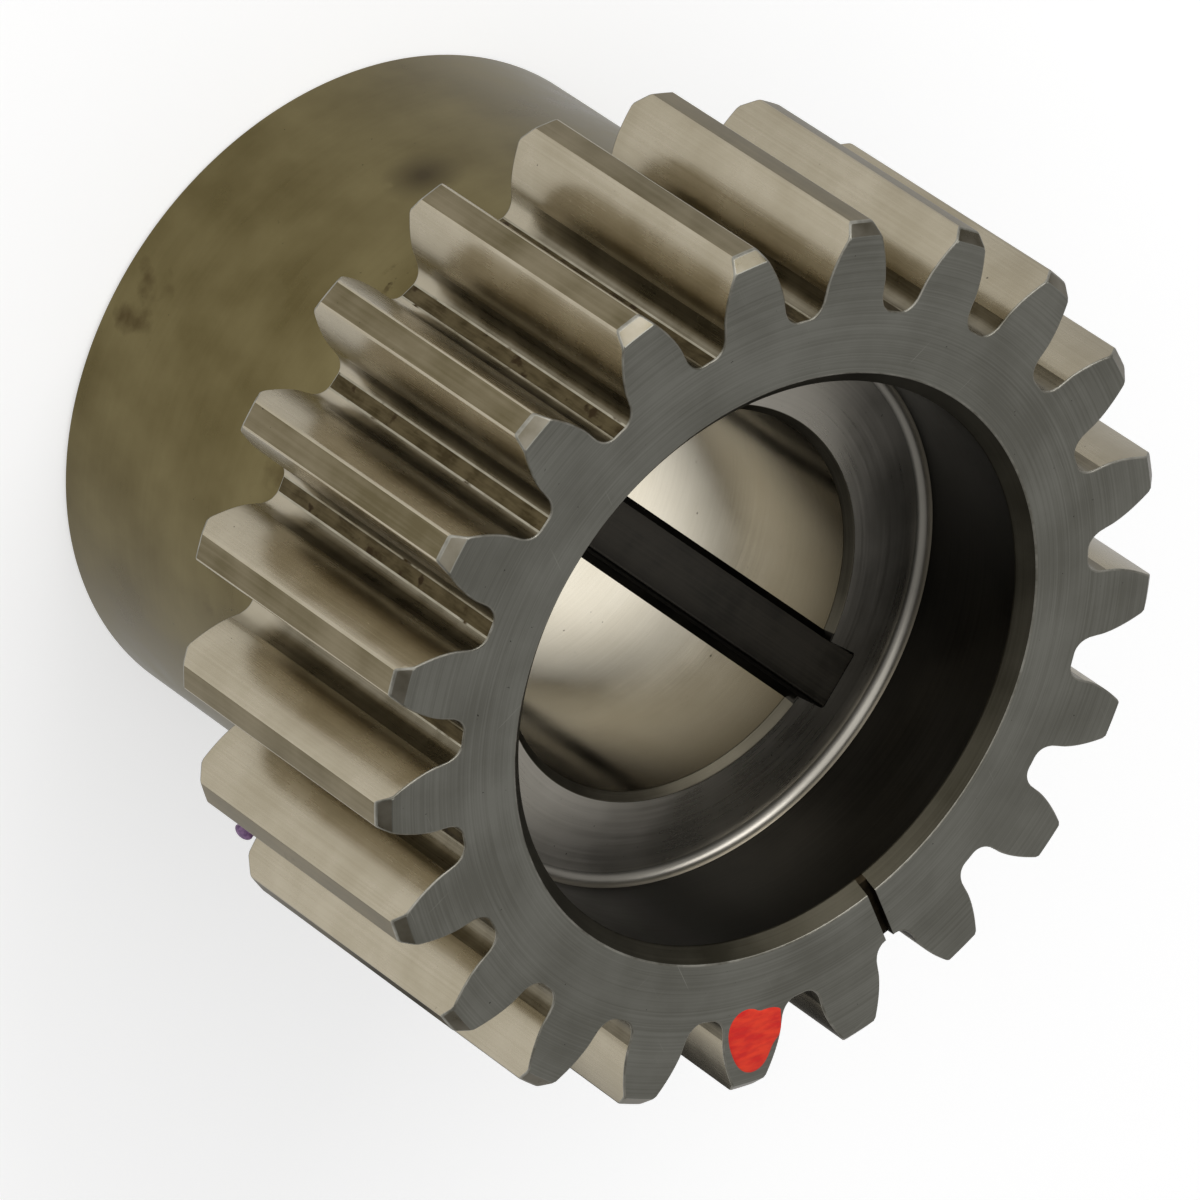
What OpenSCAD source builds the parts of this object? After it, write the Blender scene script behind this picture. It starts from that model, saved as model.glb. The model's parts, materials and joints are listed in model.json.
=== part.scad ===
// Pinion gear with its hub, one piece of steel, and a dab of paint on one tooth.
// The axis is Z. The gear stands on the end of its hub at z = 0, its open face is
// uppermost, and the keyway faces +Y. Sizes are in millimetres and degrees.

/* [Teeth] */
// Number of teeth
teeth = 21; // [19:1:26]
// Module, the pitch diameter for each tooth
gear_module = 1.5875; // [1.4:0.0125:1.8]
// Pressure angle of the teeth
pressure_angle = 20; // [17:0.5:22]
// Length of the teeth along the axis
face_w = 13.6; // [9:0.1:24]
// Room left under the tips of the mating teeth
tip_clearance = 0.35; // [0.25:0.01:0.45]
// Radius on the tips of the cutter, which rounds the roots of the teeth
cutter_tip_r = 0.45; // [0.25:0.01:0.5]
// Play taken from the thickness of each tooth
backlash = 0.02; // [0:0.01:0.15]
// Bevel on the tips of the teeth at the open face
open_face_bevel = 0.47; // [0.1:0.01:0.7]
// Bevel on the tips of the teeth at the hub side
hub_side_bevel = 0.6; // [0.1:0.01:0.8]

/* [Hub] */
// Length of the hub beyond the teeth
hub_len = 13.9; // [6:0.1:24]
// Step down from the roots of the teeth to the hub, where the cutter runs out
hub_step = 0.79; // [0.2:0.01:2]
// Bevel round the end of the hub
hub_end_bevel = 0.25; // [0.1:0.05:1]

/* [Bore and keyway] */
// Diameter of the bore
bore_d = 15.88; // [12:0.02:17]
// Bevel at both ends of the bore
bore_bevel = 0.3; // [0.1:0.05:0.6]
// Width of the keyway
keyway_w = 2.4; // [1.6:0.1:4]
// Depth of the keyway beyond the bore
keyway_depth = 1.7; // [1:0.05:2.5]
// Bevel along both edges of the keyway
keyway_bevel = 0.3; // [0.1:0.05:0.5]

/* [Recess in the open face] */
// Diameter of the recess
recess_d = 23.3; // [20:0.1:25]
// Depth of the recess
recess_depth = 6.25; // [2:0.05:9]
// Bevel round the mouth of the recess
recess_bevel = 0.58; // [0.1:0.02:0.8]
// Radius in the corner at the bottom of the recess
recess_corner_r = 0.3; // [0.1:0.05:1]

/* [Marks] */
// Turn from the keyway clockwise to the timing mark, which faces a tooth gap
timing_turn = 30; // [0:1:90]
// Width of the timing mark
timing_w = 0.38; // [0.2:0.02:0.6]
// Depth of the timing mark
timing_depth = 0.4; // [0.1:0.05:1]
// Teeth passed, clockwise from the timing mark, before the painted one
paint_tooth = 1; // [0:1:8]
// Mean radius of the dab of paint
paint_r = 1.34; // [0.8:0.02:1.6]
// Thickness of the paint
paint_t = 0.05; // [0.03:0.01:0.1]

/* [Hidden] */
$fn = 96;
// Straight steps along one flank, along one root curve and in the recess corner
flank_steps = 7;
root_steps = 5;
corner_steps = 4;
// How far a cutter reaches past the metal that it cuts
reach = 1;
// How far the outline of a tooth runs on past its tip, where the blank ends it
tip_overrun = 0.12;

// Radii of the teeth: pitch, base, tip and root circles
pitch_r = gear_module * teeth / 2;
base_r = pitch_r * cos(pressure_angle);
tip_r = pitch_r + gear_module;
cut_depth = gear_module + tip_clearance;
root_r = pitch_r - cut_depth;
pitch_turn = 360 / teeth;

// Radii and heights of the turned forms
hub_r = root_r - hub_step;
bore_r = bore_d / 2;
recess_r = recess_d / 2;
total_len = hub_len + face_w;
recess_z = total_len - recess_depth;

// Where the keyway's walls meet the bore
keyway_edge_y = sqrt(pow(bore_r, 2) - pow(keyway_w / 2, 2));

// The keyway faces +Y, the timing mark a tooth gap, and the paint a tooth
timing_angle = 90 - timing_turn;
paint_angle = timing_angle - (paint_tooth + 0.5) * pitch_turn;
paint_centre_r = pitch_r - gear_module / 2;

// The rounded tip of the cutter: how deep its centre runs below the pitch line, and
// how far that centre stands from the middle of the cutter's tooth
tip_centre_depth = cut_depth - cutter_tip_r;
tip_centre_x = PI * gear_module / 4 + backlash / 2 - cut_depth * tan(pressure_angle)
    - cutter_tip_r * (1 - sin(pressure_angle)) / cos(pressure_angle);

function in_degrees(arc, radius) = arc / radius * 180 / PI;
function involute(angle) = in_degrees(tan(angle), 1) - angle;
function on_circle(radius, angle) = radius * [cos(angle), sin(angle)];

// Flank: half the angle that a tooth fills at a radius
function tooth_half_turn(radius) =
    pitch_turn / 4 - in_degrees(backlash / 2, pitch_r)
    + involute(pressure_angle) - involute(acos(base_r / radius));

// Root: the cutter's tip rolls out of the gap as its line of contact leans from
// upright, at 90 degrees, down to the pressure angle, where the flank takes over
function contact_run(lean) = tip_centre_depth / tan(lean);
function cut_point(lean) = [
    contact_run(lean) + cutter_tip_r * cos(lean),
    pitch_r - tip_centre_depth - cutter_tip_r * sin(lean)
];
function gap_half_turn(lean) =
    atan2(cut_point(lean)[0], cut_point(lean)[1])
    - in_degrees(contact_run(lean) - tip_centre_x, pitch_r);

// One side of a tooth from its root to past its tip, as pairs of radius and half turn
flank_start_r = norm(cut_point(pressure_angle));
flank_end_r = tip_r + tip_overrun;
tooth_side = concat(
    [for (i = [0:root_steps])
        let (lean = 90 - (90 - pressure_angle) * i / root_steps)
        [norm(cut_point(lean)), pitch_turn / 2 - gap_half_turn(lean)]],
    [for (i = [1:flank_steps])
        let (radius = flank_start_r + (flank_end_r - flank_start_r) * i / flank_steps)
        [radius, tooth_half_turn(radius)]]
);
side_last = len(tooth_side) - 1;

function tooth_points(middle) = concat(
    [for (i = [0:side_last]) on_circle(tooth_side[i][0], middle - tooth_side[i][1])],
    [for (i = [side_last:-1:0]) on_circle(tooth_side[i][0], middle + tooth_side[i][1])]
);

// All the teeth in one outline, with a gap facing the timing mark
module tooth_outline() {
    polygon([for (k = [0:teeth - 1], p = tooth_points(timing_angle + (k + 0.5) * pitch_turn)) p]);
}

// The blank as it leaves the lathe: hub, step and tip circle with their bevels
module turned_blank() {
    rotate_extrude()
        polygon([
            [0, 0],
            [hub_r - hub_end_bevel, 0],
            [hub_r, hub_end_bevel],
            [hub_r, hub_len],
            [tip_r - hub_side_bevel, hub_len],
            [tip_r, hub_len + hub_side_bevel],
            [tip_r, total_len - open_face_bevel],
            [tip_r - open_face_bevel, total_len],
            [0, total_len]
        ]);
}

// The gaps between the teeth, cut through from the step to the open face
module tooth_gaps() {
    translate([0, 0, hub_len - reach])
        linear_extrude(face_w + 2 * reach)
            difference() {
                circle(tip_r + reach);
                tooth_outline();
            }
}

// The bore and the recess, bored together, with a bevel at each mouth
module bore_and_recess() {
    rotate_extrude()
        polygon(concat(
            [
                [0, -reach],
                [bore_r + bore_bevel + reach, -reach],
                [bore_r, bore_bevel],
                [bore_r, recess_z - bore_bevel],
                [bore_r + bore_bevel, recess_z]
            ],
            [for (i = [0:corner_steps])
                [recess_r - recess_corner_r, recess_z + recess_corner_r]
                + on_circle(recess_corner_r, -90 + 90 * i / corner_steps)],
            [
                [recess_r, total_len - recess_bevel],
                [recess_r + recess_bevel + reach, total_len + reach],
                [0, total_len + reach]
            ]
        ));
}

// The keyway runs the length of the bore and leaves its edges bevelled
module keyway() {
    half_w = keyway_w / 2;
    translate([0, 0, -reach])
        linear_extrude(total_len + 2 * reach)
            polygon([
                [half_w + keyway_bevel + reach, keyway_edge_y - reach],
                [half_w, keyway_edge_y + keyway_bevel],
                [half_w, bore_r + keyway_depth],
                [-half_w, bore_r + keyway_depth],
                [-half_w, keyway_edge_y + keyway_bevel],
                [-half_w - keyway_bevel - reach, keyway_edge_y - reach]
            ]);
}

// The timing mark, a shallow slot from the mouth of the recess to the root of a gap
module timing_mark() {
    rotate([0, 0, timing_angle])
        translate([recess_r - reach, -timing_w / 2, total_len - timing_depth])
            cube([root_r - recess_r + 1.5 * reach, timing_w, timing_depth + reach]);
}

module pinion_gear() {
    color([0.52, 0.5, 0.46])
        difference() {
            turned_blank();
            tooth_gaps();
            bore_and_recess();
            keyway();
            timing_mark();
        }
}

// The dab of paint is narrow towards the tip of the tooth and broad across its root,
// and it ends where the face of the tooth ends
function dab_radius(turn) = paint_r * (1 + 0.05 * cos(2 * turn) + 0.12 * cos(3 * turn));

module paint_mark() {
    color([0.85, 0.2, 0.13])
        translate([0, 0, total_len])
            linear_extrude(paint_t)
                intersection() {
                    rotate(paint_angle)
                        translate([paint_centre_r, 0])
                            polygon([for (turn = [0:12:348]) on_circle(dab_radius(turn), turn)]);
                    tooth_outline();
                    circle(tip_r - open_face_bevel);
                }
}

pinion_gear();
paint_mark();
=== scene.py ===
# %% [markdown]
# A steel pinion, dressed for its picture
#
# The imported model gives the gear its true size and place. Here its surfaces get their looks:
# a finer mesh with worn edges, a finish for each machined surface, the paint marks, the light
# and the camera. Everything is in metres in Blender. The sums below are in millimetres and
# degrees, as a workshop drawing has them, and are scaled when a mesh is made.

# %% Load the frame
import json

import bpy
import numpy as np
from mathutils import Matrix, Vector


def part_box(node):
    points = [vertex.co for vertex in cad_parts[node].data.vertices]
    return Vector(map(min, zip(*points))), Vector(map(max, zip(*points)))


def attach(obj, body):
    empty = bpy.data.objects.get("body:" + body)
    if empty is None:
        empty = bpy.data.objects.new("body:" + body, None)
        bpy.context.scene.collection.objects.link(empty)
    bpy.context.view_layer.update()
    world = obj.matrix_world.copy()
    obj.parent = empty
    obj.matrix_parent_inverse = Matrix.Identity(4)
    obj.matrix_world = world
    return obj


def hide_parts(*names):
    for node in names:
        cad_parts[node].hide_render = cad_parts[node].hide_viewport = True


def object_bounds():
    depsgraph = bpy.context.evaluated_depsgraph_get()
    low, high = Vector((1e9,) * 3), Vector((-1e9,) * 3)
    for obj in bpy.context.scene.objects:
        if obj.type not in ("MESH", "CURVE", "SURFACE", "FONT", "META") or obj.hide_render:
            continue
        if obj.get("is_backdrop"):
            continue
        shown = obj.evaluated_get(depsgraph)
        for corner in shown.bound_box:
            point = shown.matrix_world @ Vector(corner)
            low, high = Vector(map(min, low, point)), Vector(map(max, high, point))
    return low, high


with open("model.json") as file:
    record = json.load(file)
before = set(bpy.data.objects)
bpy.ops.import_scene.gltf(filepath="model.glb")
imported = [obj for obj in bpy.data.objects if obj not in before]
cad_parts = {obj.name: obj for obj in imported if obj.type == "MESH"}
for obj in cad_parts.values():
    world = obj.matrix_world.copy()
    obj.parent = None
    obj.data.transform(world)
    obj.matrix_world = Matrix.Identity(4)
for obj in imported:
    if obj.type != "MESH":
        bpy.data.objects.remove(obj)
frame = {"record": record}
cad_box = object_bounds()
mounts = {m["name"]: m for m in frame["record"]["mounts"]}
low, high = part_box("pinion_gear")
print("gear box, mm:", [round(v * 1000, 3) for v in (*low, *high)])

# %% [markdown]
# The sizes of the gear
#
# What the frame states is read from it: the length, the bore and the recess. The rest are the
# driving sizes of the teeth and bevels, from which the outline is worked out again, because the
# mesh here has to be smoother than the one that the frame carries.

# %% Sizes in millimetres
MM = 0.001
length = high.z / MM
bore_r = mounts["shaft_bore"]["dims"]["r_mm"]
recess_r = mounts["recess"]["dims"]["r_mm"]
teeth, module = 21, 1.5875
pressure_angle = np.radians(20)
tip_clearance, cutter_round, backlash = 0.35, 0.45, 0.02
hub_len, hub_step = 13.9, 0.79
open_bevel, hub_side_bevel, hub_end_bevel = 0.47, 0.6, 0.25
bore_bevel, recess_bevel, recess_corner, recess_depth = 0.3, 0.58, 0.45, 6.25
key_half, key_depth, key_bevel = 1.2, 1.7, 0.3
slot_half, slot_depth = 0.19, 0.4
key_turn, slot_turn = np.radians(90), np.radians(60)

pitch_r = module * teeth / 2
base_r = pitch_r * np.cos(pressure_angle)
tip_r = pitch_r + module
root_r = pitch_r - module - tip_clearance
hub_r = root_r - hub_step
recess_z = length - recess_depth
tooth_turn = 2 * np.pi / teeth
print("pitch, root and tip radius:", [round(float(v), 3) for v in (pitch_r, root_r, tip_r)])

# %% [markdown]
# One tooth
#
# The side of a gear tooth is an involute, the curve that the end of a taut thread draws as it
# unwinds from the base circle. The root below it isn't a plain fillet: it is the track of the
# rounded corner of the cutter as the blank rolls past. A drawn curve or a circle arc would look
# wrong beside a real gear, so both are worked out from the way the tooth is cut.

# %% Flank and root
cutter_centre_depth = module + tip_clearance - cutter_round
cutter_centre_x = (
    np.pi * module / 4
    + backlash / 2
    - (module + tip_clearance) * np.tan(pressure_angle)
    - cutter_round * (1 - np.sin(pressure_angle)) / np.cos(pressure_angle)
)


def involute(angle):
    """The tangent of the angle less the angle itself."""
    return np.tan(angle) - angle


def tooth_half_turn(radius):
    """Half the angle that a tooth fills: a quarter pitch less half the play, and the involute
    of the pressure angle less the involute of the flank's lean at this radius."""
    lean = np.arccos(np.minimum(base_r / radius, 1))
    return tooth_turn / 4 - backlash / 2 / pitch_r + involute(pressure_angle) - involute(lean)


def root_track(lean):
    """(radius, turn from the middle of the gap) where the cutter's round corner touches when
    its line of contact leans so far: the corner's centre runs at one depth, and the blank has
    rolled by the run of that line along the pitch circle."""
    run = cutter_centre_depth / np.tan(lean)
    across = run + cutter_round * np.cos(lean)
    up = pitch_r - cutter_centre_depth - cutter_round * np.sin(lean)
    return np.hypot(across, up), np.arctan2(across, up) - (run - cutter_centre_x) / pitch_r


print("the flank starts at radius:", round(float(root_track(pressure_angle)[0]), 3))

# %% [markdown]
# Half a tooth
#
# A tooth is the same on both sides, so only half of it is worked out: from the middle of the gap
# along the root, up the flank, round the corner at the tip and over the land. Wear takes the
# corner's sharpness, and a Bevel modifier would need a width for each edge, so the corner is a
# short curve in the outline itself.

# %% The outline of half a tooth
tip_corner_trim = 0.1  # How far below the tip the curve of the corner starts


def half_tooth(root_steps=10, flank_steps=18, corner_steps=5, land_steps=3):
    """(radius, turn from the middle of the gap) from the gap to the middle of the tooth, and
    the distance of the first points from that middle, where the timing slot has its edges."""
    land_end = root_r * cutter_centre_x / pitch_r
    # Half the slot's floor, its wall as two points in one place, and its eased lip
    land = np.array([0, 0.1, slot_half, slot_half, slot_half + 0.005, slot_half + 0.013])
    land_turns = np.arcsin(land / root_r)
    root_radii, root_turns = root_track(np.linspace(np.pi / 2, pressure_angle, root_steps))
    corner_turn = tooth_turn / 2 - tooth_half_turn(tip_r)
    flank_top = tip_r - tip_corner_trim
    flank_radii = np.linspace(root_radii[-1], flank_top, flank_steps)[1:]
    flank_turns = tooth_turn / 2 - tooth_half_turn(flank_radii)
    # The corner is a curve pulled towards the sharp corner from the flank and from the land.
    share = np.linspace(0, 1, corner_steps + 1)[1:]
    land_turn = corner_turn + tip_corner_trim / tip_r
    weights = ((1 - share) ** 2, 2 * share * (1 - share), share**2)
    corner_radii = weights[0] * flank_top + (weights[1] + weights[2]) * tip_r
    corner_turns = weights[0] * flank_turns[-1] + weights[1] * corner_turn + weights[2] * land_turn
    top_turns = np.linspace(land_turn, tooth_turn / 2, land_steps + 1)[1:]
    radii = [np.full(len(land), root_r), root_radii, flank_radii, corner_radii]
    turns = [land_turns, root_turns, flank_turns, corner_turns, top_turns]
    radii.append(np.full(len(top_turns), tip_r))
    return np.concatenate(radii), np.concatenate(turns), np.append(land, land_end)


half_radii, half_turns, slot_across = half_tooth()
half_count = len(half_radii)
per_tooth = 2 * half_count - 2
columns = teeth * per_tooth
print("points for one tooth:", per_tooth, "and round the gear:", columns)

# %% [markdown]
# Rings
#
# The whole gear is one closed grid. Its columns go once round the axis, and its rows go once
# round the section of the rim: under the teeth, up their sides, in over the open face, down the
# recess and the bore, and back up the hub. Each row is a ring of points with the same count, so
# the skin closes on itself without a seam. A cut made with a boolean would leave ragged faces.


# %% Angles and outlines of the rings
def round_the_gear(half_values, mirrored):
    """Repeats values of half a tooth for every tooth, from one gap to the next. mirrored values
    are angles, which go on from the middle of the tooth to the middle of the next gap."""
    back = half_values[-2:0:-1]
    one = np.concatenate([half_values, tooth_turn - back if mirrored else back])
    steps = np.repeat(np.arange(teeth), per_tooth) * tooth_turn if mirrored else 0
    return np.tile(one, teeth) + steps


def ring_turns(radius):
    """Angles for a round ring: even steps, but beside the middle of each gap the points keep
    the slot's distances from it, so that the slot's walls are parallel."""
    near = np.arcsin(slot_across / radius)
    rest = np.linspace(near[-1], tooth_turn / 2, half_count - len(near) + 1)[1:]
    return slot_turn + round_the_gear(np.concatenate([near, rest]), True)


def along_normals(points):
    """Unit normals of a closed outline, pointing to its right: the step from the point before
    to the point after, turned a quarter and scaled to 1."""
    step = np.roll(points, -1, 0) - np.roll(points, 1, 0)
    normal = np.stack([step[:, 1], -step[:, 0]], 1)
    return normal / np.linalg.norm(normal, axis=1, keepdims=True)


def polar(radius, turn):
    """Points at a radius and an angle."""
    return np.stack([radius * np.cos(turn), radius * np.sin(turn)], 1)


outline_r = round_the_gear(half_radii, False)
outline_turn = slot_turn + round_the_gear(half_turns, True)
outline = polar(outline_r, outline_turn)
step_ahead = np.linalg.norm(np.roll(outline, -1, 0) - outline, axis=1)

# A point that shares its place with the next one takes over the next one's normal
distinct = step_ahead > 1e-6
normals = np.zeros_like(outline)
normals[distinct] = along_normals(outline[distinct])
twins = np.flatnonzero(~distinct)
normals[twins] = normals[(twins + 1) % columns]
print("length of the toothed outline:", round(float(step_ahead.sum()), 2))

# %% [markdown]
# The timing slot
#
# The slot is a saw cut in the open face, from the recess to the root of one gap. A boolean would
# tear the even rows at its edges. Instead the columns beside the middle of that gap stand where its
# walls are, and the rows of the open face are held down there.

# %% Columns of the timing slot
# How far each column drops from the open face: the slot's floor and wall, then its lip
slot_profile = np.zeros(half_count)
slot_profile[:5] = [slot_depth, slot_depth, slot_depth, 0.02, 0.006]
slot_drop = np.zeros(columns)
slot_drop[:half_count] = slot_profile
slot_drop[-half_count + 1 :] = slot_profile[:0:-1]
print("columns in the timing slot:", int((slot_drop > 0).sum()))

# %% [markdown]
# The bore and its keyway
#
# A keyway is drawn through the bore with a broach, so it is a straight channel with nearly sharp
# inner corners and its edges taken off with a file. Seen from the axis its outline never turns
# back, so it can share the columns of the rings: some of them follow the channel, and the others
# the round bore.


# %% The outline of the bore
def arc(centre_x, centre_y, radius, start, end, count):
    """Points on a circle arc between two angles in degrees."""
    turn = np.radians(np.linspace(start, end, count))
    return np.stack([centre_x + radius * np.cos(turn), centre_y + radius * np.sin(turn)], 1)


def straight(start, end, count):
    """Even points on a straight line, with both its ends."""
    share = np.linspace(0, 1, count)[:, None]
    return np.array(start) * (1 - share) + np.array(end) * share


def keyway_side():
    """The right half of the keyway with the channel upright: bevelled edge, wall, the small
    round in the corner and half the floor. The floor has so many points that the columns of
    the corner stand at nearly the same angle as on the even rings. With fewer of them, the
    faces between this outline and a ring fold over the channel."""
    edge_y = np.sqrt(bore_r**2 - key_half**2)
    floor_y, corner = bore_r + key_depth, 0.12
    start_x = key_half + key_bevel
    parts = [
        straight([start_x, np.sqrt(bore_r**2 - start_x**2)], [key_half, edge_y + key_bevel], 6),
        straight([key_half, edge_y + key_bevel], [key_half, floor_y - corner], 12)[1:],
        arc(key_half - corner, floor_y - corner, corner, 0, 90, 6)[1:],
        straight([key_half - corner, floor_y], [0, floor_y], 34)[1:],
    ]
    return np.concatenate(parts)


side = keyway_side()
channel = np.concatenate([side, side[-2::-1] * [-1, 1]])
channel_turns = np.unwrap(np.arctan2(channel[:, 1], channel[:, 0]))

# The columns that follow the channel are counted from the middle of its floor
middle_column = int(round((key_turn - slot_turn) / tooth_turn * per_tooth))
in_channel = middle_column + np.arange(len(channel)) - len(side) + 1
plain_count = columns - len(channel)
plain_turns = np.linspace(channel_turns[-1], channel_turns[0] + 2 * np.pi, plain_count + 2)[1:-1]
bore_turn = np.concatenate([channel_turns, plain_turns])
bore_radius = np.concatenate([np.linalg.norm(channel, axis=1), np.full(plain_count, bore_r)])
bore_outline = np.roll(polar(bore_radius, bore_turn), in_channel[0], 0)
bore_normals = along_normals(bore_outline)
print("columns in the keyway:", len(channel), "of", columns)

# %% [markdown]
# Rows
#
# A row needs the place of each column in the plane and its height. The teeth are bevelled at both
# ends because the blank was bevelled before the gaps were cut, so a tooth's end face drops with
# the radius and not with the distance from its own edge.


# %% Helpers for rows
def at_height(points, height):
    """Puts points of the plane at a height, one for all or one for each."""
    return np.column_stack([points, np.broadcast_to(height, len(points))])


def slotted_row(radius, height):
    """A round ring whose points keep to the timing slot."""
    return at_height(polar(radius, ring_turns(radius)), height)


def circle_row(radius, height):
    """A round ring with even steps, so that its shading is even too."""
    turns = slot_turn + np.arange(columns) * 2 * np.pi / columns
    return at_height(polar(radius, turns), height)


def open_height(points):
    """Height of the open face over a point: the gear's length less how far the point lies
    beyond the inner edge of the tip bevel."""
    return length - np.maximum(np.linalg.norm(points, axis=1) - (tip_r - open_bevel), 0)


def under_height(points):
    """Height of the teeth's hub side: the hub's length and how far the point lies beyond the
    inner edge of the bevel there."""
    return hub_len + np.maximum(np.linalg.norm(points, axis=1) - (tip_r - hub_side_bevel), 0)


def within(points, radius):
    """Points beyond the radius are brought in to it, the others stay."""
    reach = np.linalg.norm(points, axis=1, keepdims=True)
    return points * np.minimum(1, radius / reach)


def bore_row(radius, spread, height):
    """The bore's outline with its round part at a radius and the keyway spread by a little.
    Where the circle reaches past the keyway's bevelled edge, the circle holds."""
    keyed = np.zeros(columns, bool)
    keyed[in_channel] = True
    points = bore_outline + bore_normals * np.where(keyed, spread, 0)[:, None]
    reach = np.linalg.norm(points, axis=1)
    points *= (np.where(keyed, np.maximum(reach, radius), radius) / reach)[:, None]
    return at_height(points, height)


rows = []
bands = {}


def add(name, *new_rows):
    """Adds rows, and notes under a name the bands of faces that end at them."""
    for row in new_rows:
        rows.append(row)
        bands.setdefault(name, []).append(len(rows) - 2)


print("drop of the open face at the tip:", round(length - float(open_height(outline).min()), 3))

# %% [markdown]
# The teeth
#
# The rows start at the hub, cross the hub side of the teeth and climb their sides. Every sharp edge
# is eased by a few hundredths of a millimetre, as tumbling and handling leave it: that thin round
# is what catches the light along the edges. The outline is moved along its own normals for it.

# %% Rows from the hub up the teeth
# The width of the thin round on sharp edges and its turns, the outline inside it, the round at
# the foot of the teeth, and half the width of the strip that bends where two flats meet
edge = 0.07
round_steps = np.radians([0, 30, 60, 90])
inner = outline - normals * edge
hub_fillet = 0.15
crease = 0.03

# The corner between the hub and the underside of the teeth
for turn in round_steps:
    radius = hub_r + hub_fillet * (1 - np.cos(turn))
    add("hub", circle_row(radius, hub_len - hub_fillet * (1 - np.sin(turn))))

# The hub side of the teeth, its bevel and its eased edge
for offset in (-crease, 0, crease):
    points = within(inner, tip_r - hub_side_bevel + offset)
    add("under", at_height(points, under_height(points)))
for turn in round_steps:
    points = outline - normals * edge * (1 - np.sin(turn))
    add("edge", at_height(points, under_height(points) + edge * (1 - np.cos(turn))))

# The sides of the teeth, in thirds up to the height of the slot's floor
under_top = under_height(outline) + edge
slot_floor = length - slot_depth
side_top = open_height(outline) - edge
for share in (0.33, 0.67):
    add("side", at_height(outline, under_top + (slot_floor - 1 - under_top) * share))
add("side", at_height(outline, np.minimum(slot_floor, side_top)))
floor_limit = length - slot_drop
add("side", at_height(outline, np.minimum(side_top, floor_limit)))
print("rows up to the open face:", len(rows))

# %% [markdown]
# The open face
#
# The face is flat but for the bevel of the tips and the mouth of the recess. From the mouth
# inwards a ring has no more need of the slot's columns, so the rings there have even steps.

# %% Rows over the open face
# The eased edge of the open face and its tip bevel
for turn in round_steps[1:]:
    points = outline - normals * edge * (1 - np.cos(turn))
    height = open_height(points) - edge * (1 - np.sin(turn))
    add("edge", at_height(points, np.minimum(height, floor_limit)))
for offset in (crease, 0, -crease):
    points = within(inner, tip_r - open_bevel + offset)
    add("face", at_height(points, np.minimum(open_height(points), floor_limit)))

# The mouth of the recess: three rings on each bend ease it by hundredths of a millimetre
mouth_r = recess_r + recess_bevel
for offset, drop in ((0.04, 0), (0, 0.01), (-0.04, 0.04)):
    add("face", slotted_row(mouth_r + offset, np.minimum(length - drop, floor_limit)))
add("mouth", slotted_row(mouth_r - slot_depth, slot_floor))
wall_top = length - recess_bevel
for offset, drop in ((0.03, -0.03), (0.006, 0.012), (0, 0.05)):
    add("mouth", circle_row(recess_r + offset, wall_top - drop))

print("rows as far as the recess:", len(rows))

# %% [markdown]
# The recess and the bore
#
# Inside, the rows go down the wall of the recess, round its corner, over its floor and down the
# bore with its keyway. At the end of the hub they come back to the outside, and the last row meets
# the first one, which closes the skin.

# %% Rows inside and under the hub
# The wall of the recess, the round in its corner, and its floor
for turn in np.radians([0, 22.5, 45, 67.5, 90]):
    radius = recess_r - recess_corner * (1 - np.cos(turn))
    add("recess", circle_row(radius, recess_z + recess_corner * (1 - np.sin(turn))))
for offset, spread, drop in ((0.03, 0.03, 0), (0.0, 0.01, 0.01), (-0.03, 0, 0.04)):
    add("floor", bore_row(bore_r + bore_bevel + offset, spread, recess_z - drop))

# The bore from the recess down to the end of the hub, its bevels eased in the same way
add("bore_edge", bore_row(bore_r + 0.02, 0, recess_z - bore_bevel + 0.02))
add("bore_edge", bore_row(bore_r, 0, recess_z - bore_bevel - 0.02))
add("bore", bore_row(bore_r, 0, bore_bevel + 0.02))
add("bore_edge", bore_row(bore_r + 0.02, 0, bore_bevel - 0.02))
for offset, spread, rise in ((-0.03, 0, 0.04), (0.0, 0.01, 0.01), (0.03, 0.03, 0)):
    add("bore_edge", bore_row(bore_r + bore_bevel + offset, spread, rise))

# The end of the hub and its side
hub_end_r = hub_r - hub_end_bevel
for offset, rise in ((-0.03, 0), (0, 0.01), (0.03, 0.04)):
    add("hub_end", circle_row(hub_end_r + offset, rise))
add("hub_edge", circle_row(hub_r - 0.02, hub_end_bevel - 0.02))
add("hub_edge", circle_row(hub_r, hub_end_bevel + 0.03))
bands["hub"][0] = len(rows) - 1
print("rows:", len(rows), "and faces before merging:", len(rows) * columns)

# %% [markdown]
# From rings to a mesh
#
# Between two rings each column gives one four-sided face. Where columns or rows meet, as at the
# walls of the slot in the gaps that have none, points lie on each other. They are merged first,
# and a face that has shrunk to nothing is left out, so the mesh is closed and has no stray faces.


# %% Make the mesh
def grid_faces(row_count, column_count):
    """Corner numbers of every face of a grid that closes in both directions, row by row."""
    row, column = np.divmod(np.arange(row_count * column_count), column_count)
    next_row, next_column = (row + 1) % row_count, (column + 1) % column_count
    corners = (row, column), (row, next_column), (next_row, next_column), (next_row, column)
    return np.stack([r * column_count + c for r, c in corners], 1)


def merged(points, corners, tolerance=1e-4):
    """Points that share a place to the tolerance become one, and each face keeps the corners
    that still differ from the one before. Returns the points, the corners with a mask of those
    that are kept, and the numbers of the faces that keep three or more."""
    _, first, place = np.unique(
        np.round(points / tolerance), axis=0, return_index=True, return_inverse=True
    )
    corners = place.ravel()[corners]
    kept_corners = corners != np.roll(corners, 1, 1)
    kept = np.flatnonzero(kept_corners.sum(1) >= 3)
    return points[first], corners[kept], kept_corners[kept], kept


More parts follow.
